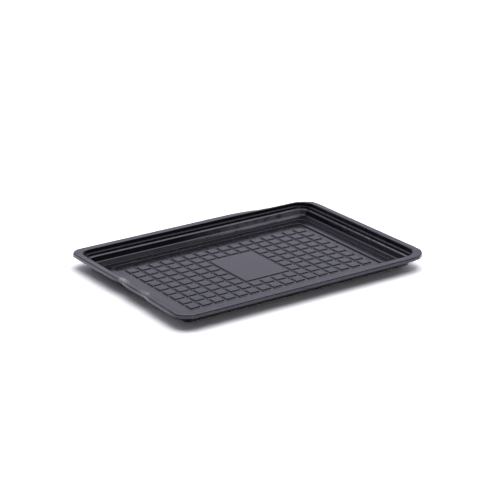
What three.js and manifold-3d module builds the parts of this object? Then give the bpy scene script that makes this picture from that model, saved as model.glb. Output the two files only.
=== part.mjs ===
// Shallow food tray, vacuum formed from one sheet of black plastic.
// Millimetres, +Z up, +X along the long side. The origin is under the middle of the floor.
// The floor carries a grid of raised square pads round a plain panel. Two low steps, a wall with
// a stacking ledge, a flat flange and a turned-down lip follow one another outwards.
import * as THREE from "three";
import Module from "manifold-3d";

const wasm = await Module();
wasm.setup();

// Overall size and sheet
const trayLength = 266;
const trayWidth = 189;
const rimHeight = 14.1; // top of the flange above the upper face of the floor
const sheet = 0.5;

// Pads on the floor
const padPitch = 12.4;
const padsAlong = 16;
const padsAcross = 9;
const padSize = 9.7; // square side where a pad leaves the floor
const padHeight = 0.9;
const padDraft = 0.35; // how far each side of a pad leans in over its height
const panelPadsAlong = 4; // pads that the plain panel takes the place of
const panelPadsAcross = 5;

// Rim: flange, outer edge and lip
const flangeWidth = 5.2; // from the outer edge to the start of the mouth's rounding
const mouthRadius = 1.2; // from the flange into the wall, in section
const edgeRadius = 0.7; // from the flange into the lip, in section
const lipDrop = 3.4; // from the top of the flange to the lip's free edge

// Wall, from the mouth down
const ledgeHeight = 7.8; // above the floor's upper face
const ledgeWidth = 1.2;
const ledgeFall = 0.2; // the ledge slopes inwards by this much
const beadHeight = 2.5; // narrow seat just above the ledge
const beadWidth = 1.4;
const beadLean = 0.3;
const upperWallLean = 1.6;
const lowerWallLean = 1.4;
const coveRadius = 1.5; // hollow rounding at the foot of the wall

// Two low steps between the wall and the floor
const stepHeight = 0.7;
const stepLean = 0.4;
const shelfLong = 9.6; // tread of the upper step along the long sides
const shelfShort = 6.4; // and along the short sides
const bandLong = 4.5; // tread of the lower step along the long sides
const bandShort = 7.7;

// Corner radii in plan
const rimCornerRadius = 16.5;
const mouthCornerRadius = 14.5;
const ledgeCornerRadius = 9;
const floorCornerRadius = 5;

// Damage: the back flange droops, and the left rim is pushed in and has two creased dents
const droop = { middle: 86, reach: 66, drop: 1.3, tilt: 1.6 }; // along X; tilt is at the edge
const push = { middle: -14, reach: 62, inward: 0.9 }; // along Y
const dents = [
  { middle: -3, reach: 11, inward: 2.6, lift: 1.0 },
  { middle: -37, reach: 13, inward: 2.8, lift: 1.1 },
];
const damageFade = 22; // the damage dies out over this distance from its own side

// Fineness of the mesh
const cornerSteps = 6;
const arcSteps = 3;
const longSideSteps = 12;
const shortSideSteps = 9;
const dentedSideSteps = 26;

// Points on a circular arc of the section. Degrees turn from outward, 0, to upward, 90.
function sectionArc(centreInset, centreHeight, radius, from, to) {
  return Array.from({ length: arcSteps + 1 }, (_, i) => {
    const angle = THREE.MathUtils.degToRad(from + ((to - from) * i) / arcSteps);
    return [centreInset - radius * Math.cos(angle), centreHeight + radius * Math.sin(angle)];
  });
}

// The sheet's upper face, from the edge of the floor out to the lip's free edge. A station has
// its inset from the outer edge on the short and on the long sides, its height above the floor,
// its corner radius in plan, and the share of the rim's damage that reaches it.
function sectionStations() {
  const mouthInset = flangeWidth + mouthRadius;
  const beadInset = mouthInset + upperWallLean;
  const ledgeInset = beadInset + beadWidth + beadLean;
  const wallInset = ledgeInset + ledgeWidth;
  const coveInset = wallInset + lowerWallLean;
  const shelfInset = coveInset + coveRadius;
  const shelfHeight = 2 * stepHeight;
  const station = (inset, height, radius, damage, short = 0, long = 0) => ({
    insetX: inset + short,
    insetY: inset + long,
    height,
    radius,
    damage,
  });
  const tread = (steps, height, short, long) =>
    station(shelfInset + steps * stepLean, height, floorCornerRadius, 0, short, long);
  const cove = sectionArc(shelfInset, shelfHeight + coveRadius, coveRadius, -90, 0);
  const mouth = sectionArc(flangeWidth, rimHeight - mouthRadius, mouthRadius, 180, 90);
  const edge = sectionArc(edgeRadius, rimHeight - edgeRadius, edgeRadius, 90, 0);
  return [
    tread(2, 0, shelfShort + bandShort, shelfLong + bandLong),
    tread(1, stepHeight, shelfShort + bandShort, shelfLong + bandLong),
    tread(1, stepHeight, shelfShort, shelfLong),
    tread(0, shelfHeight, shelfShort, shelfLong),
    ...cove.map(([inset, height]) => station(inset, height, floorCornerRadius, 0)),
    station(wallInset, ledgeHeight - ledgeFall, ledgeCornerRadius, 0),
    station(ledgeInset, ledgeHeight, ledgeCornerRadius, 0.1),
    station(ledgeInset - beadLean, ledgeHeight + beadHeight, ledgeCornerRadius, 0.3),
    station(beadInset, ledgeHeight + beadHeight, ledgeCornerRadius, 0.4),
    ...mouth.map(([inset, height]) => station(inset, height, mouthCornerRadius, 0.9)),
    ...edge.map(([inset, height]) => station(inset, height, rimCornerRadius, 1)),
    station(0, rimHeight - lipDrop, rimCornerRadius, 1),
  ];
}

// The direction square to the section between two stations, pointing to the sheet's lower face.
function lowerNormal(a, b) {
  return new THREE.Vector2(b.height - a.height, b.insetX - a.insetX).normalize();
}

// The lower face: each station is moved by the sheet's thickness, square to both of its
// neighbouring stretches, so that the wall keeps one thickness through every bend.
function lowerStations(upper) {
  return upper.map((station, i) => {
    const floor = new THREE.Vector2(0, -1);
    const before = i === 0 ? floor : lowerNormal(upper[i - 1], station);
    const after = i === upper.length - 1 ? before : lowerNormal(station, upper[i + 1]);
    const shift = before.clone().add(after);
    shift.multiplyScalar(sheet / (1 + before.dot(after)));
    return {
      ...station,
      insetX: station.insetX - shift.x,
      insetY: station.insetY - shift.x,
      height: station.height + shift.y,
    };
  });
}

// A smooth hump, 1 in its middle and 0 from its reach on, and a crease with a sharp middle.
const hump = (at, { middle, reach }) => (1 - Math.min(1, Math.abs(at - middle) / reach) ** 2) ** 2;
const crease = (at, { middle, reach }) => (1 - Math.min(1, Math.abs(at - middle) / reach)) ** 2;

// How near a point is to one side: 1 at the outer edge, 0 where the damage has died out.
const nearness = (distance) => THREE.MathUtils.smoothstep(damageFade - distance, 0, damageFade);

// Moves a point of the rim as the damage does.
function damaged(point, station) {
  const backShare = nearness(trayWidth / 2 - point.y) * hump(point.x, droop) * station.damage;
  const leftShare = nearness(trayLength / 2 + point.x) * station.damage;
  const outward = Math.max(0, 1 - station.insetY / flangeWidth);
  const dentSum = (size) => dents.reduce((sum, d) => sum + d[size] * crease(point.y, d), 0);
  const inward = leftShare * (push.inward * hump(point.y, push) + dentSum("inward"));
  const lift = leftShare * dentSum("lift");
  const fall = backShare * (droop.drop + droop.tilt * outward);
  return point.add(new THREE.Vector3(inward, 0, lift - fall));
}

// The four sides of a station's ring, seen from above and taken anticlockwise.
function ring(station) {
  const halfX = trayLength / 2 - station.insetX;
  const halfY = trayWidth / 2 - station.insetY;
  const straightX = halfX - station.radius;
  const straightY = halfY - station.radius;
  const corners = [
    [1, 1, longSideSteps],
    [-1, 1, dentedSideSteps],
    [-1, -1, longSideSteps],
    [1, -1, shortSideSteps],
  ];
  const points = [];
  corners.forEach(([signX, signY, sideSteps], quarter) => {
    const centre = new THREE.Vector3(signX * straightX, signY * straightY, sheet + station.height);
    for (let i = 0; i <= cornerSteps; i++) {
      const angle = (quarter + i / cornerSteps) * (Math.PI / 2);
      const arm = new THREE.Vector3(Math.cos(angle), Math.sin(angle), 0);
      points.push(centre.clone().addScaledVector(arm, station.radius));
    }
    const [nextX, nextY] = corners[(quarter + 1) % 4];
    const start = points.at(-1);
    const turn = new THREE.Vector3(nextX * straightX, nextY * straightY, centre.z);
    const end = turn.add(start.clone().sub(centre));
    for (let i = 1; i < sideSteps; i++) {
      points.push(start.clone().lerp(end, i / sideSteps));
    }
  });
  return points.map((point) => damaged(point, station));
}

// A rectangle as a ring of four corners.
function rectangle(x, y, halfX, halfY, z) {
  const signs = [[1, 1], [-1, 1], [-1, -1], [1, -1]];
  return signs.map(([sx, sy]) => new THREE.Vector3(x + sx * halfX, y + sy * halfY, z));
}

// A closed skin through rings of equal count. The first ring is closed facing up, the last one
// facing down.
function loft(rings) {
  const count = rings[0].length;
  const outline = (points) => points.map((p) => new THREE.Vector2(p.x, p.y));
  const cap = (points) => THREE.ShapeUtils.triangulateShape(outline(points), []);
  const last = (rings.length - 1) * count;
  const faces = cap(rings[0]).map(([a, b, c]) => [a, b, c]);
  for (let row = 0; row < rings.length - 1; row++) {
    for (let i = 0; i < count; i++) {
      const a = row * count + i;
      const b = row * count + ((i + 1) % count);
      faces.push([a, a + count, b + count], [a, b + count, b]);
    }
  }
  cap(rings.at(-1)).forEach(([a, b, c]) => faces.push([last + a, last + c, last + b]));
  return { points: rings.flat(), faces };
}

// One solid from one or more closed skins that lie apart.
function solid(skins) {
  const vertProperties = [];
  const triVerts = [];
  for (const { points, faces } of skins) {
    const first = vertProperties.length / 3;
    points.forEach((p) => vertProperties.push(p.x, p.y, p.z));
    faces.forEach((face) => triVerts.push(...face.map((i) => first + i)));
  }
  const mesh = new wasm.Mesh({
    numProp: 3,
    vertProperties: new Float32Array(vertProperties),
    triVerts: new Uint32Array(triVerts),
  });
  return new wasm.Manifold(mesh);
}

// Middles and half sizes of the pads, with the plain panel as the last one.
function padPlaces() {
  const places = [];
  const middle = (index, count) => (index - (count - 1) / 2) * padPitch;
  for (let i = 0; i < padsAlong; i++) {
    for (let j = 0; j < padsAcross; j++) {
      const x = middle(i, padsAlong);
      const y = middle(j, padsAcross);
      const inPanel =
        Math.abs(x) < (panelPadsAlong * padPitch) / 2 &&
        Math.abs(y) < (panelPadsAcross * padPitch) / 2;
      if (!inPanel) {
        places.push({ x, y, halfX: padSize / 2, halfY: padSize / 2 });
      }
    }
  }
  const gap = padPitch - padSize;
  const halfX = (panelPadsAlong * padPitch - gap) / 2;
  const halfY = (panelPadsAcross * padPitch - gap) / 2;
  places.push({ x: 0, y: 0, halfX, halfY });
  return places;
}

// Tapered blocks on every pad's place, between two heights, with their sides set in.
function padBlocks(low, high, setIn) {
  const slope = padDraft / padHeight;
  return padPlaces().map(({ x, y, halfX, halfY }) => {
    const level = (z) => {
      const change = (sheet - z) * slope - setIn;
      return rectangle(x, y, halfX + change, halfY + change, z);
    };
    return loft([level(high), level(low)]);
  });
}

function trayGeometry() {
  const upper = sectionStations();
  const lower = lowerStations(upper).reverse();
  const formed = solid([loft([...upper, ...lower].map(ring))]);
  const pads = solid(padBlocks(sheet / 2, sheet + padHeight, 0));
  const hollows = solid(padBlocks(-sheet, padHeight, sheet));
  const mesh = formed.add(pads).subtract(hollows).getMesh();
  const geometry = new THREE.BufferGeometry();
  geometry.setAttribute("position", new THREE.BufferAttribute(mesh.vertProperties, 3));
  geometry.setIndex(new THREE.BufferAttribute(mesh.triVerts, 1));
  geometry.computeVertexNormals();
  return geometry;
}

const blackPlastic = new THREE.MeshStandardMaterial({
  color: 0x1c1b1f,
  roughness: 0.34,
  metalness: 0,
});

const tray = new THREE.Mesh(trayGeometry(), blackPlastic);
tray.name = "tray";

const part = new THREE.Group();
part.add(tray);

export default part;
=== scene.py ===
# Black plastic food tray: a fine mesh of the formed sheet, its finish, and a plain white studio.
import math

import bpy
import numpy as np
from mathutils import Matrix, Vector


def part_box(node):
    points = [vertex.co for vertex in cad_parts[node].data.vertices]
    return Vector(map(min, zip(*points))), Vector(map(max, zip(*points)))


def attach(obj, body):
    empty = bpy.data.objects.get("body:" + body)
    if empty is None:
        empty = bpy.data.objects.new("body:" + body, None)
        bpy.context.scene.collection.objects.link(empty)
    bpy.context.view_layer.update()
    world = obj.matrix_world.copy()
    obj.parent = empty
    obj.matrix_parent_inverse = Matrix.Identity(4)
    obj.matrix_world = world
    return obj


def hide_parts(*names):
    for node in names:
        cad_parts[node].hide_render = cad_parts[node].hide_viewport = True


mm = 0.001  # Blender works in metres, the sizes below are in millimetres

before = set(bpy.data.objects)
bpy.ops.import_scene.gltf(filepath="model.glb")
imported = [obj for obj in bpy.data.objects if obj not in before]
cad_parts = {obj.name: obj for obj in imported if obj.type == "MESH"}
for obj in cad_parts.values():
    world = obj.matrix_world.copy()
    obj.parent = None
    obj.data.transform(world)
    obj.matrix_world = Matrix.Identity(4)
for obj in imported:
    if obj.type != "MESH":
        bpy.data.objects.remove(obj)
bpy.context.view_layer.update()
boxLow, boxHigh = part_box("tray")
halfLength = (boxHigh.x - boxLow.x) / 2 / mm
halfWidth = (boxHigh.y - boxLow.y) / 2 / mm
print("frame loaded, tray", round(2 * halfLength, 1), "by", round(2 * halfWidth, 1), "mm")

# camera: where the photograph was taken from
shot = {
    "azimuth": -34.903,  # degrees, 0 looks along +Y
    "elevation": 20.872,
    "roll": 0.294,
    "lens": 133.56,
    "sensor": 36.0,
    "target": (26.0, 35.5, 0.0),
    "distance": 1716.5,
}


def makeCamera():
    # stands back from the target along its direction, looks at it and rolls about its line of sight
    turn, lift = math.radians(shot["azimuth"]), math.radians(shot["elevation"])
    back = Vector((math.sin(turn) * math.cos(lift), -math.cos(turn) * math.cos(lift), math.sin(lift)))
    data = bpy.data.cameras.new("camera")
    data.lens = shot["lens"]
    data.sensor_width = shot["sensor"]
    camera = bpy.data.objects.new("camera", data)
    bpy.context.scene.collection.objects.link(camera)
    place = Vector(shot["target"]) * mm + back * shot["distance"] * mm
    aim = (-back).to_track_quat("-Z", "Y").to_matrix().to_4x4()
    roll = Matrix.Rotation(math.radians(shot["roll"]), 4, "Z")
    camera.matrix_world = Matrix.Translation(place) @ aim @ roll
    bpy.context.scene.camera = camera


makeCamera()
print("camera placed")

# the pads on the floor, and the plain panel in their middle
pads = {
    "pitch": 12.4,
    "along": 16,
    "across": 9,
    "size": 9.7,
    "height": 1.15,
    "draft": 0.32,  # how far a pad's sides lean out
    "corner": 0.55,  # rounding of a pad's corners in plan
    "soften": 0.07,  # rounding of a pad's edges in section
    "panelAlong": 4,  # pads that the panel takes the place of
    "panelAcross": 5,
    "hollow": 0.85,  # share of the sheet by which the hollow below a pad is smaller
    "linesFromMiddle": (3.9, 4.36, 4.5, 4.69, 4.92),  # grid lines on each half of a pad
}

# the section of the sheet, outwards: inset from the outer edge, height over the floor, rounding,
# corner radius in plan, share of the rim's damage, extra inset on the short and long sides
sheet = 0.5  # thickness
section = {
    "floorEdge": (14.4, 0.0, 0.15, 5.0, 0.0, 14.1, 14.1),
    "bandFoot": (14.3, 0.95, 0.2, 5.0, 0.0, 14.1, 14.1),
    "bandEnd": (14.1, 1.15, 0.15, 5.0, 0.0, 6.4, 9.6),
    "shelfFoot": (14.0, 2.1, 0.2, 5.0, 0.0, 6.4, 9.6),
    "cove": (12.9, 2.35, 1.1, 5.0, 0.0, 0.0, 0.0),
    "wallTop": (11.2, 7.2, 0.9, 9.0, 0.0, 0.0, 0.0),
    "ledge": (9.6, 7.9, 0.35, 9.0, 0.1, 0.0, 0.0),
    "beadFoot": (9.3, 10.2, 0.4, 9.0, 0.3, 0.0, 0.0),
    "bead": (7.7, 10.4, 0.4, 9.0, 0.4, 0.0, 0.0),
    "mouth": (6.1, 14.1, 0.9, 14.5, 0.9, 0.6, 1.2),
    "edge": (0.6, 14.1, 0.9, 15.9, 1.0, 0.0, 0.0),
    "lip": (0.0, 10.9, 0.0, 16.5, 1.0, 0.0, 0.0),
}
meshing = {
    "upperBend": 3,  # points that round each bend of the section, on the upper face
    "lowerBend": 2,  # and on the lower face
    "upperFlat": (0.06, 0.94),  # points on the stretch between two bends, as shares of it
    "lowerFlat": (),
    "mostCut": 0.46,  # share of a stretch that the rounding of one bend may take
    "leastBend": 0.08,  # smallest rounding on the lower face
    "lead": 4.0,  # flat stretch in front of the first bend
    "cornerZone": 18.6,  # stretch of the pad grid's border that feeds a rounded corner
    "margin": 0.8,  # the pad grid runs this far past its last line
}

# the rim's damage: each middle is a place along its side, and each reach is how far it spreads
damage = {
    "droop": {"middle": 103.0, "reach": 62.0, "drop": 1.0, "tilt": 2.1},  # of the back flange
    "push": {"middle": -14.0, "reach": 62.0, "inward": 0.9},  # of the left rim
    "dents": (
        {"middle": 6.0, "reach": 12.0, "inward": 2.6, "lift": 0.2},
        {"middle": -29.0, "reach": 14.0, "inward": 2.4, "lift": 0.3},
    ),
    "bent": {"middle": 24.0, "reach": 74.0, "lift": 0.6},  # the left flange's outer edge, bent up
    "leftCorner": 0.3,  # how much tighter the outer corner at the back left is
    "warp": {"level": 10.0, "slope": 0.0085},  # the right rim rises towards the front
    "fade": 22.0,  # how far in from the rim the damage is felt
    "flange": 5.2,  # width over which the back flange tilts and the left one bends
    "scuffAndHighlight": {"width": 10.0, "blend": 5.0, "height": 12.5, "rise": 1.0},  # where creases turned pale, partly stress whitening and partly a painted highlight
}


def smooth(t):
    # smooth step: 3 t squared less 2 t cubed, held at 0 below 0 and at 1 above 1
    t = np.clip(t, 0.0, 1.0)
    return t * t * (3.0 - 2.0 * t)


def hump(at, form):
    # one less the square of the distance over the reach, squared; nought past the reach
    return (1.0 - np.minimum(1.0, np.abs(at - form["middle"]) / form["reach"]) ** 2) ** 2


def crease(at, form):
    # one less the distance over the reach, squared: a hump with a sharp middle
    return (1.0 - np.minimum(1.0, np.abs(at - form["middle"]) / form["reach"])) ** 2


def gridLines(count):
    # for every pad of a row, its own middle plus and less each chosen distance
    half = np.array(pads["linesFromMiddle"])
    offsets = np.concatenate([-half[::-1], half])
    middles = (np.arange(count) - (count - 1) / 2) * pads["pitch"]
    lines = (middles[:, None] + offsets[None, :]).ravel()
    reach = lines[-1] + meshing["margin"]
    return np.concatenate([[-reach], lines, [reach]])


def roundedSquare(x, y, halfX, halfY, radius):
    # distance outside a rounded rectangle: the length of the overshoot past its straight
    # stretches, plus the smaller undershoot inside, less the corner radius
    overX = np.abs(x) - (halfX - radius)
    overY = np.abs(y) - (halfY - radius)
    outside = np.hypot(np.maximum(overX, 0.0), np.maximum(overY, 0.0))
    return outside + np.minimum(np.maximum(overX, overY), 0.0) - radius


def padRise(x, y, setIn):
    # height of a pad: full inside its top edge, falling by a smooth step over its draft
    pitch = pads["pitch"]
    half = pads["size"] / 2 - pads["draft"]
    lastX, lastY = (pads["along"] - 1) / 2, (pads["across"] - 1) / 2
    centreX = np.clip(np.floor(x / pitch) + 0.5, -lastX, lastX) * pitch
    centreY = np.clip(np.round(y / pitch), -lastY, lastY) * pitch
    spanX, spanY = pads["panelAlong"] * pitch, pads["panelAcross"] * pitch
    inPanel = (np.abs(centreX) < spanX / 2) & (np.abs(centreY) < spanY / 2)
    spare = pitch - pads["size"] + 2 * pads["draft"]
    panelX, panelY = (spanX - spare) / 2, (spanY - spare) / 2
    toPad = roundedSquare(x - centreX, y - centreY, half, half, pads["corner"])
    toPanel = roundedSquare(x, y, panelX, panelY, pads["corner"])
    away = np.where(inPanel, toPanel, toPad) + setIn
    soften = pads["soften"]
    return pads["height"] * (1.0 - smooth((away + soften) / (pads["draft"] + 2 * soften)))


def offsetSection(points, thickness):
    # each bend moves square to both of its neighbouring stretches by the thickness
    steps = np.diff(points, axis=0)
    normals = np.stack([steps[:, 1], -steps[:, 0]], axis=1)
    normals /= np.linalg.norm(normals, axis=1)[:, None]
    before = np.concatenate([[[0.0, -1.0]], normals])
    after = np.concatenate([normals, normals[-1:]])
    share = 1.0 + (before * after).sum(axis=1)
    return points + thickness * (before + after) / share[:, None], before, after


def roundedSection(points, radii, count):
    # each bend is cut back along both stretches and bridged with a parabola through its corner
    steps = np.diff(points, axis=0)
    lengths = np.linalg.norm(steps, axis=1)
    unit = steps / lengths[:, None]
    turn = np.arccos(np.clip((unit[:-1] * unit[1:]).sum(axis=1), -1.0, 1.0))
    room = meshing["mostCut"] * np.minimum(lengths[:-1], lengths[1:])
    cut = np.minimum(radii[1:-1] * np.tan(turn / 2), room)[:, None]
    corner = points[1:-1]
    start, end = corner - unit[:-1] * cut, corner + unit[1:] * cut
    s = np.linspace(0.0, 1.0, count)[None, :, None]
    bends = start[:, None] * (1 - s) ** 2 + 2 * corner[:, None] * s * (1 - s) + end[:, None] * s**2
    return bends.reshape(-1, 2)


def sectionStations(lower):
    # rounds the section on the short and on the long sides, and carries the other values along
    table = np.array(list(section.values()))
    inset, height, rounding, radius, share, short, long = table.T
    sides = []
    count = meshing["lowerBend" if lower else "upperBend"]
    for extra in (short, long):
        points = np.stack([inset + extra, height], axis=1)
        lead = points[:1] + [[meshing["lead"], 0.0]]
        points = np.concatenate([lead, points])
        radii = np.concatenate([[0.0], rounding])
        if lower:
            points, before, after = offsetSection(points * [-1, 1], sheet)
            points = points * [-1, 1]
            bend = before[:, 0] * after[:, 1] - before[:, 1] * after[:, 0]
            radii = np.where(bend > 0, radii + sheet, np.maximum(radii - sheet, meshing["leastBend"]))
        last = points[-1:]
        sides.append(np.concatenate([points[:1], roundedSection(points, radii, count), last]))
    carried = np.stack([radius, share], axis=1)
    carried = np.concatenate([carried[:1], np.repeat(carried[:-1], count, axis=0), carried[-1:]])
    return sides[0][:, 0], sides[1][:, 0], sides[0][:, 1], carried[:, 0], carried[:, 1]


def denser(values, lower):
    # adds points on the stretches between the bends, and leaves the bends as they are
    count = meshing["lowerBend" if lower else "upperBend"]
    between = np.array(meshing["lowerFlat" if lower else "upperFlat"])
    bends = (len(values) - 2) // count
    at = [[0.0]]
    for bend in range(bends):
        first = 1 + bend * count
        at.extend([first - 1 + between, np.arange(first, first + count)])
    at.extend([len(values) - 2 + between, [len(values) - 1]])
    return np.interp(np.concatenate(at), np.arange(len(values)), values)


def borderOf(linesX, linesY):
    # the border of the pad grid, anticlockwise from its right side, as indexes into the grid
    nx, ny = len(linesX), len(linesY)
    right = [(nx - 1, j) for j in range(ny)]
    top = [(i, ny - 1) for i in range(nx - 2, -1, -1)]
    left = [(0, j) for j in range(ny - 2, -1, -1)]
    bottom = [(i, 0) for i in range(1, nx - 1)]
    return np.array(right + top + left + bottom)


def ringPoints(u, v, halfX, halfY, radius, cutX, cutY):
    # the border point (u, v) of the unit square carried to a rounded rectangle: straight
    # stretches stay straight, and the last stretch before a corner is spread along its arc
    signX, signY = np.sign(u), np.sign(v)
    onShort = np.abs(u) >= np.abs(v)
    arcShort = np.clip((np.abs(v) - cutY) / (1 - cutY), 0, 1) * np.pi / 4
    arcLong = np.clip((np.abs(u) - cutX) / (1 - cutX), 0, 1) * np.pi / 4
    straightY = np.clip(np.abs(v) / cutY, 0, 1) * (halfY - radius)
    straightX = np.clip(np.abs(u) / cutX, 0, 1) * (halfX - radius)
    xShort = halfX - radius + radius * np.cos(arcShort)
    yShort = straightY + radius * np.sin(arcShort)
    xLong = straightX + radius * np.sin(arcLong)
    yLong = halfY - radius + radius * np.cos(arcLong)
    return signX * np.where(onShort, xShort, xLong), signY * np.where(onShort, yShort, yLong)


def damagedPoints(x, y, z, inset, share):
    # the back flange falls by a hump along X, the left rim moves in and up by creases along Y,
    # and the right rim turns about its level place; all of it fades out inwards by a smooth step
    fade = damage["fade"]
    backShare = smooth(1 - (halfWidth - y) / fade) * hump(x, damage["droop"]) * share
    leftShare = smooth(1 - (halfLength + x) / fade) * share
    outward = np.maximum(0.0, 1 - inset / damage["flange"])
    inward = damage["push"]["inward"] * hump(y, damage["push"])
    lift = np.zeros_like(x)
    for dent in damage["dents"]:
        inward = inward + dent["inward"] * crease(y, dent)
        lift = lift + dent["lift"] * crease(y, dent)
    fall = backShare * (damage["droop"]["drop"] + damage["droop"]["tilt"] * outward)
    rightShare = smooth(1 - (halfLength - x) / fade) * share
    fall = fall + rightShare * damage["warp"]["slope"] * (y - damage["warp"]["level"])
    lift = lift + damage["bent"]["lift"] * hump(y, damage["bent"]) * outward
    return x + leftShare * inward, y, z + leftShare * lift - fall


def trayFace(lower):
    # one face of the sheet: the pad grid in the middle, then the section carried round it
    linesX, linesY = gridLines(pads["along"]), gridLines(pads["across"])
    gx, gy = np.meshgrid(linesX, linesY, indexing="ij")
    setIn = pads["hollow"] * sheet if lower else 0.0
    drop = sheet if lower else 0.0
    gz = padRise(gx, gy, setIn) - drop
    floor = np.stack([gx, gy, gz], axis=2).reshape(-1, 3)
    border = borderOf(linesX, linesY)
    u = linesX[border[:, 0]] / linesX[-1]
    v = linesY[border[:, 1]] / linesY[-1]
    cutX = 1 - meshing["cornerZone"] / linesX[-1]
    cutY = 1 - meshing["cornerZone"] / linesY[-1]
    insetX, insetY, height, radius, share = [
        denser(values, lower)[:, None] for values in sectionStations(lower)
    ]
    atLeftCorner = ((u < 0) & (v > 0))[None]
    radius = radius * (1 - damage["leftCorner"] * share**2 * atLeftCorner)
    x, y = ringPoints(u[None], v[None], halfLength - insetX, halfWidth - insetY, radius, cutX, cutY)
    z = height + np.zeros_like(x)
    x, y, z = damagedPoints(x, y, z, insetY + np.zeros_like(x), share + np.zeros_like(x))
    rings = np.stack([x, y, z], axis=2).reshape(-1, 3)
    points = np.concatenate([floor, rings])
    points[:, 2] += sheet
    borderIndex = border[:, 0] * len(linesY) + border[:, 1]
    return points, (len(linesX), len(linesY)), borderIndex, len(height)


def trayQuads(shape, borderIndex, stations, first, lower):
    # four-sided faces between neighbouring grid lines and between neighbouring rings
    nx, ny = shape
    cell = np.arange(nx * ny).reshape(nx, ny)
    floor = np.stack([cell[:-1, :-1], cell[1:, :-1], cell[1:, 1:], cell[:-1, 1:]], axis=2)
    count = len(borderIndex)
    beyond = nx * ny + np.arange(stations * count).reshape(stations, count)
    rings = np.concatenate([borderIndex[None], beyond])
    after = np.roll(rings, -1, axis=1)
    walls = np.stack([rings[:-1], rings[1:], after[1:], after[:-1]], axis=2)
    faces = np.concatenate([floor.reshape(-1, 4), walls.reshape(-1, 4)]) + first
    return faces[:, ::-1] if lower else faces, rings[-1] + first


def scuffAndHighlightAt(points):
    # stress-bright plastic and a painted highlight: the square of each crease, on the outer rim only
    x, y, z = points.T
    form = damage["scuffAndHighlight"]
    nearRim = smooth((form["width"] - halfLength - x) / form["blend"])
    nearTop = smooth((z - form["height"]) / form["rise"])
    return nearRim * nearTop * sum(crease(y, dent) ** 2 for dent in damage["dents"])


def makeMesh(name, points, faces):
    # puts whole arrays of corners and four-sided faces into a new mesh object
    mesh = bpy.data.meshes.new(name)
    mesh.vertices.add(len(points))
    mesh.vertices.foreach_set("co", (points * mm).ravel().astype(np.float32))
    mesh.loops.add(faces.size)
    mesh.loops.foreach_set("vertex_index", faces.ravel().astype(np.int32))
    mesh.polygons.add(len(faces))
    mesh.polygons.foreach_set("loop_start", np.arange(0, faces.size, 4, dtype=np.int32))
    mesh.polygons.foreach_set("loop_total", np.full(len(faces), 4, dtype=np.int32))
    mesh.update(calc_edges=True)
    if mesh.validate():
        print("faces of", name, "had to be mended")
    mesh.shade_smooth()
    # pale creases as a point attribute: stress whitening with a painted highlight on it
    scuffAndHighlight = mesh.attributes.new("scuffAndHighlight", "FLOAT", "POINT")
    scuffAndHighlight.data.foreach_set("value", scuffAndHighlightAt(points).astype(np.float32))
    piece = bpy.data.objects.new(name, mesh)
    bpy.context.scene.collection.objects.link(piece)
    return piece


def makeTray():
    # the upper and the lower face, joined by a strip along the edge of the lip
    upper, shape, borderIndex, upperRings = trayFace(False)
    lower, _, _, lowerRings = trayFace(True)
    upperFaces, upperEdge = trayQuads(shape, borderIndex, upperRings, 0, False)
    lowerFaces, lowerEdge = trayQuads(shape, borderIndex, lowerRings, len(upper), True)
    lip = np.stack([upperEdge, lowerEdge, np.roll(lowerEdge, -1), np.roll(upperEdge, -1)], axis=1)
    points = np.concatenate([upper, lower])
    faces = np.concatenate([upperFaces, lowerFaces, lip])
    piece = makeMesh("formed_tray", points, faces)
    print("tray mesh,", 2 * len(faces), "triangles")
    return piece


# finish of the plastic; a pattern is its scale, its detail and the limits of its smooth step,
# and places are in metres from the tray's origin
plastic = {
    "colour": (0.0065, 0.0060, 0.0080, 1.0),
    "roughness": (0.10, 0.20),  # glossiest and dullest
    "uneven": (260.0, 3.0, 0.35, 0.75),
    "ior": 1.5,
    "sheen": (0.87, 0.86, 1.0, 1.0),  # faint violet cast of what it mirrors
    "waves": {"height": 0.25, "scale": 170.0, "detail": 2.0, "from": (0.003, 0.006)},  # on the walls
    "grain": {"height": 0.1, "scale": 900.0, "detail": 3.0, "strength": 0.15},  # everywhere
    "scuffedAndHighlit": (0.65, 0.64, 0.68, 1.0),  # stress-bright plastic at the dents, partly a painted highlight
    "streaks": (500.0, 3.0, 0.25, 0.55),
}

# dull film low on the back wall, which sets in towards its right end
film = {
    "colour": (0.078, 0.073, 0.086, 1.0),
    "roughness": 0.5,
    "patches": (120.0, 5.0, 0.15, 0.60),
    "along": (-0.030, 0.060),  # along X, from bare to filmed
    "wall": (0.0755, 0.079),  # along Y, from the floor's margin to the wall
    "top": (0.0085, 0.0072),  # height, from bare to filmed
}


def ramp(nodes, links, source, low, high, start=0.0, end=1.0):
    # a smooth step from start to end while the source runs from low to high
    node = nodes.new("ShaderNodeMapRange")
    node.interpolation_type = "SMOOTHSTEP"
    for name, value in (("From Min", low), ("From Max", high), ("To Min", start), ("To Max", end)):
        node.inputs[name].default_value = value
    links.new(source, node.inputs["Value"])
    return node.outputs["Result"]


def times(nodes, links, first, second):
    # the product of two values
    node = nodes.new("ShaderNodeMath")
    node.operation = "MULTIPLY"
    links.new(first, node.inputs[0])
    links.new(second, node.inputs[1])
    return node.outputs["Value"]


def noise(nodes, links, place, scale, detail):
    # soft random spots, finer with a higher scale
    node = nodes.new("ShaderNodeTexNoise")
    node.inputs["Scale"].default_value = scale
    node.inputs["Detail"].default_value = detail
    links.new(place, node.inputs["Vector"])
    return node.outputs["Fac"]


def pattern(nodes, links, place, form):
    # the same spots with a clearer edge, by a smooth step between two limits
    scale, detail, low, high = form
    return ramp(nodes, links, noise(nodes, links, place, scale, detail), low, high)


def bump(nodes, links, place, form, under=None):
    # raises the surface by soft spots, over another bump where one is given
    node = nodes.new("ShaderNodeBump")
    node.inputs["Distance"].default_value = form["height"] * mm
    links.new(noise(nodes, links, place, form["scale"], form["detail"]), node.inputs["Height"])
    if under:
        links.new(under.outputs["Normal"], node.inputs["Normal"])
    return node


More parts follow.
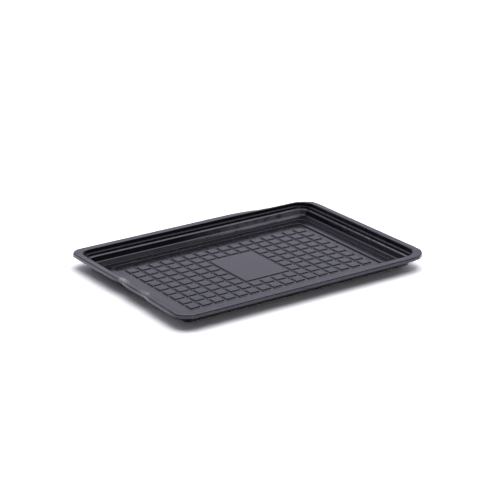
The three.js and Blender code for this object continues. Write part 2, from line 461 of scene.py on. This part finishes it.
def blend(nodes, links, kind, factor, low, high):
    # mixes two values or colours, the first of which may come from another node
    node = nodes.new("ShaderNodeMix")
    node.data_type = kind
    links.new(factor, node.inputs["Factor"])
    a, b = [socket for socket in node.inputs if socket.enabled and socket.name in ("A", "B")]
    if isinstance(low, bpy.types.NodeSocket):
        links.new(low, a)
    else:
        a.default_value = low
    b.default_value = high
    return [socket for socket in node.outputs if socket.enabled][0]


def filmAmount(nodes, links, place, apart):
    # the film lies on the back wall below the ledge, in patches
    onWall = times(
        nodes, links,
        ramp(nodes, links, apart.outputs["Y"], *film["wall"]),
        ramp(nodes, links, apart.outputs["Z"], *film["top"]),
    )
    along = ramp(nodes, links, apart.outputs["X"], *film["along"])
    patches = pattern(nodes, links, place, film["patches"])
    return times(nodes, links, times(nodes, links, onWall, along), patches)


def makePlastic():
    # black plastic with film, and pale creases over it that are partly stress whitening and partly a
    # painted highlight, and two bumps for its uneven surface
    material = bpy.data.materials.new("black_plastic")
    material.use_nodes = True
    nodes, links = material.node_tree.nodes, material.node_tree.links
    shader = nodes["Principled BSDF"]
    shader.inputs["IOR"].default_value = plastic["ior"]
    shader.inputs["Specular Tint"].default_value = plastic["sheen"]
    place = nodes.new("ShaderNodeTexCoord").outputs["Object"]
    apart = nodes.new("ShaderNodeSeparateXYZ")
    links.new(place, apart.inputs["Vector"])
    filmed = filmAmount(nodes, links, place, apart)
    # the pale creases mix stress whitening and a painted highlight into the colour
    scuffAndHighlightNode = nodes.new("ShaderNodeAttribute")
    scuffAndHighlightNode.attribute_name = "scuffAndHighlight"
    scuffAndHighlight = times(nodes, links, scuffAndHighlightNode.outputs["Fac"], pattern(nodes, links, place, plastic["streaks"]))
    colour = blend(nodes, links, "RGBA", filmed, plastic["colour"], film["colour"])
    colour = blend(nodes, links, "RGBA", scuffAndHighlight, colour, plastic["scuffedAndHighlit"])
    links.new(colour, shader.inputs["Base Color"])
    uneven = pattern(nodes, links, place, plastic["uneven"])
    roughness = blend(nodes, links, "FLOAT", uneven, *plastic["roughness"])
    roughness = blend(nodes, links, "FLOAT", filmed, roughness, film["roughness"])
    links.new(roughness, shader.inputs["Roughness"])
    # the drawn walls are a little wavy, the whole sheet has a fine grain
    waves = bump(nodes, links, place, plastic["waves"])
    links.new(ramp(nodes, links, apart.outputs["Z"], *plastic["waves"]["from"]), waves.inputs["Strength"])
    grain = bump(nodes, links, place, plastic["grain"], waves)
    grain.inputs["Strength"].default_value = plastic["grain"]["strength"]
    links.new(grain.outputs["Normal"], shader.inputs["Normal"])
    return material


tray = makeTray()
tray.data.materials.append(makePlastic())
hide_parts("tray")
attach(tray, "root")
print("tray finished")

# studio: white floor and surroundings, soft light from above
studio = {
    "floorSize": 6.0,  # metres
    "floorAlbedo": 0.8,
    "floorSeen": 1.25,  # what the camera sees of the lit floor, so that it reads as white
    "floorMirrored": 1.7,  # and what the plastic mirrors of it
    "tint": (0.95, 0.94, 1.10, 1.0),
    "nearGlow": 0.05,  # strength of the surroundings on the camera's side
    "farGlow": 0.95,  # and on the far side, which the floor of the tray mirrors
    "farDirection": (0.55, 0.80, 0.25),
    "glowTurn": (-0.2, 0.7),  # from near to far glow, as the cosine of the angle to the far direction
    "horizon": 0.4,  # share of the glow that is left at the horizon
    "horizonRise": (0.0, 0.3),  # height over which it comes back, as the sine of the elevation
    "panels": {
        "overhead": {"place": (0.2, 0.1, 1.1), "size": (1.6, 1.6), "power": 17.0},
        "low": {"place": (-0.25, -1.5, 0.22), "size": (0.16, 0.36), "power": 3.2},
    },
}


def makeFloor():
    # a white square; the camera and the plastic's reflections see it brighter than it lights
    size = studio["floorSize"] / 2
    corners = [(-size, -size, 0), (size, -size, 0), (size, size, 0), (-size, size, 0)]
    mesh = bpy.data.meshes.new("studio_floor")
    mesh.from_pydata(corners, [], [(0, 1, 2, 3)])
    floor = bpy.data.objects.new("studio_floor", mesh)
    bpy.context.scene.collection.objects.link(floor)
    material = bpy.data.materials.new("floor_white")
    material.use_nodes = True
    nodes, links = material.node_tree.nodes, material.node_tree.links
    nodes.clear()
    output = nodes.new("ShaderNodeOutputMaterial")
    matte = nodes.new("ShaderNodeBsdfDiffuse")
    ray = nodes.new("ShaderNodeLightPath")
    shades = [studio["floorAlbedo"], studio["floorMirrored"], studio["floorSeen"]]
    lit, mirrored, seen = [(shade, shade, shade, 1.0) for shade in shades]
    tone = blend(nodes, links, "RGBA", ray.outputs["Is Glossy Ray"], lit, mirrored)
    tone = blend(nodes, links, "RGBA", ray.outputs["Is Camera Ray"], tone, seen)
    links.new(tone, matte.inputs["Color"])
    links.new(matte.outputs["BSDF"], output.inputs["Surface"])
    mesh.materials.append(material)


def makeSurround():
    # a glow that grows towards the far side and fades at the horizon, and an even pale backdrop
    world = bpy.data.worlds.new("surround")
    bpy.context.scene.world = world
    world.use_nodes = True
    nodes, links = world.node_tree.nodes, world.node_tree.links
    nodes.clear()
    output = nodes.new("ShaderNodeOutputWorld")
    light = nodes.new("ShaderNodeBackground")
    light.inputs["Color"].default_value = studio["tint"]
    direction = nodes.new("ShaderNodeTexCoord")
    facing = nodes.new("ShaderNodeVectorMath")
    facing.operation = "DOT_PRODUCT"
    facing.inputs[1].default_value = Vector(studio["farDirection"]).normalized()
    apart = nodes.new("ShaderNodeSeparateXYZ")
    links.new(direction.outputs["Generated"], facing.inputs[0])
    links.new(direction.outputs["Generated"], apart.inputs["Vector"])
    strengths = studio["nearGlow"], studio["farGlow"]
    glow = ramp(nodes, links, facing.outputs["Value"], *studio["glowTurn"], *strengths)
    rise = ramp(nodes, links, apart.outputs["Z"], *studio["horizonRise"], studio["horizon"])
    links.new(times(nodes, links, glow, rise), light.inputs["Strength"])
    seen = nodes.new("ShaderNodeBackground")
    ray = nodes.new("ShaderNodeLightPath")
    choice = nodes.new("ShaderNodeMixShader")
    links.new(ray.outputs["Is Camera Ray"], choice.inputs["Fac"])
    links.new(light.outputs["Background"], choice.inputs[1])
    links.new(seen.outputs["Background"], choice.inputs[2])
    links.new(choice.outputs["Shader"], output.inputs["Surface"])


def makePanel(name, form):
    # a soft box that faces the middle of the tray
    data = bpy.data.lights.new(name, "AREA")
    data.shape = "RECTANGLE"
    data.size, data.size_y = form["size"]
    data.energy = form["power"]
    panel = bpy.data.objects.new(name, data)
    bpy.context.scene.collection.objects.link(panel)
    panel.location = form["place"]
    panel.rotation_euler = (-Vector(form["place"])).to_track_quat("-Z", "Y").to_euler()
    panel.visible_camera = False


makeFloor()
makeSurround()
for panelName, panelForm in studio["panels"].items():
    makePanel(panelName, panelForm)
bpy.context.scene.view_settings.view_transform = "Standard"
print("studio ready")
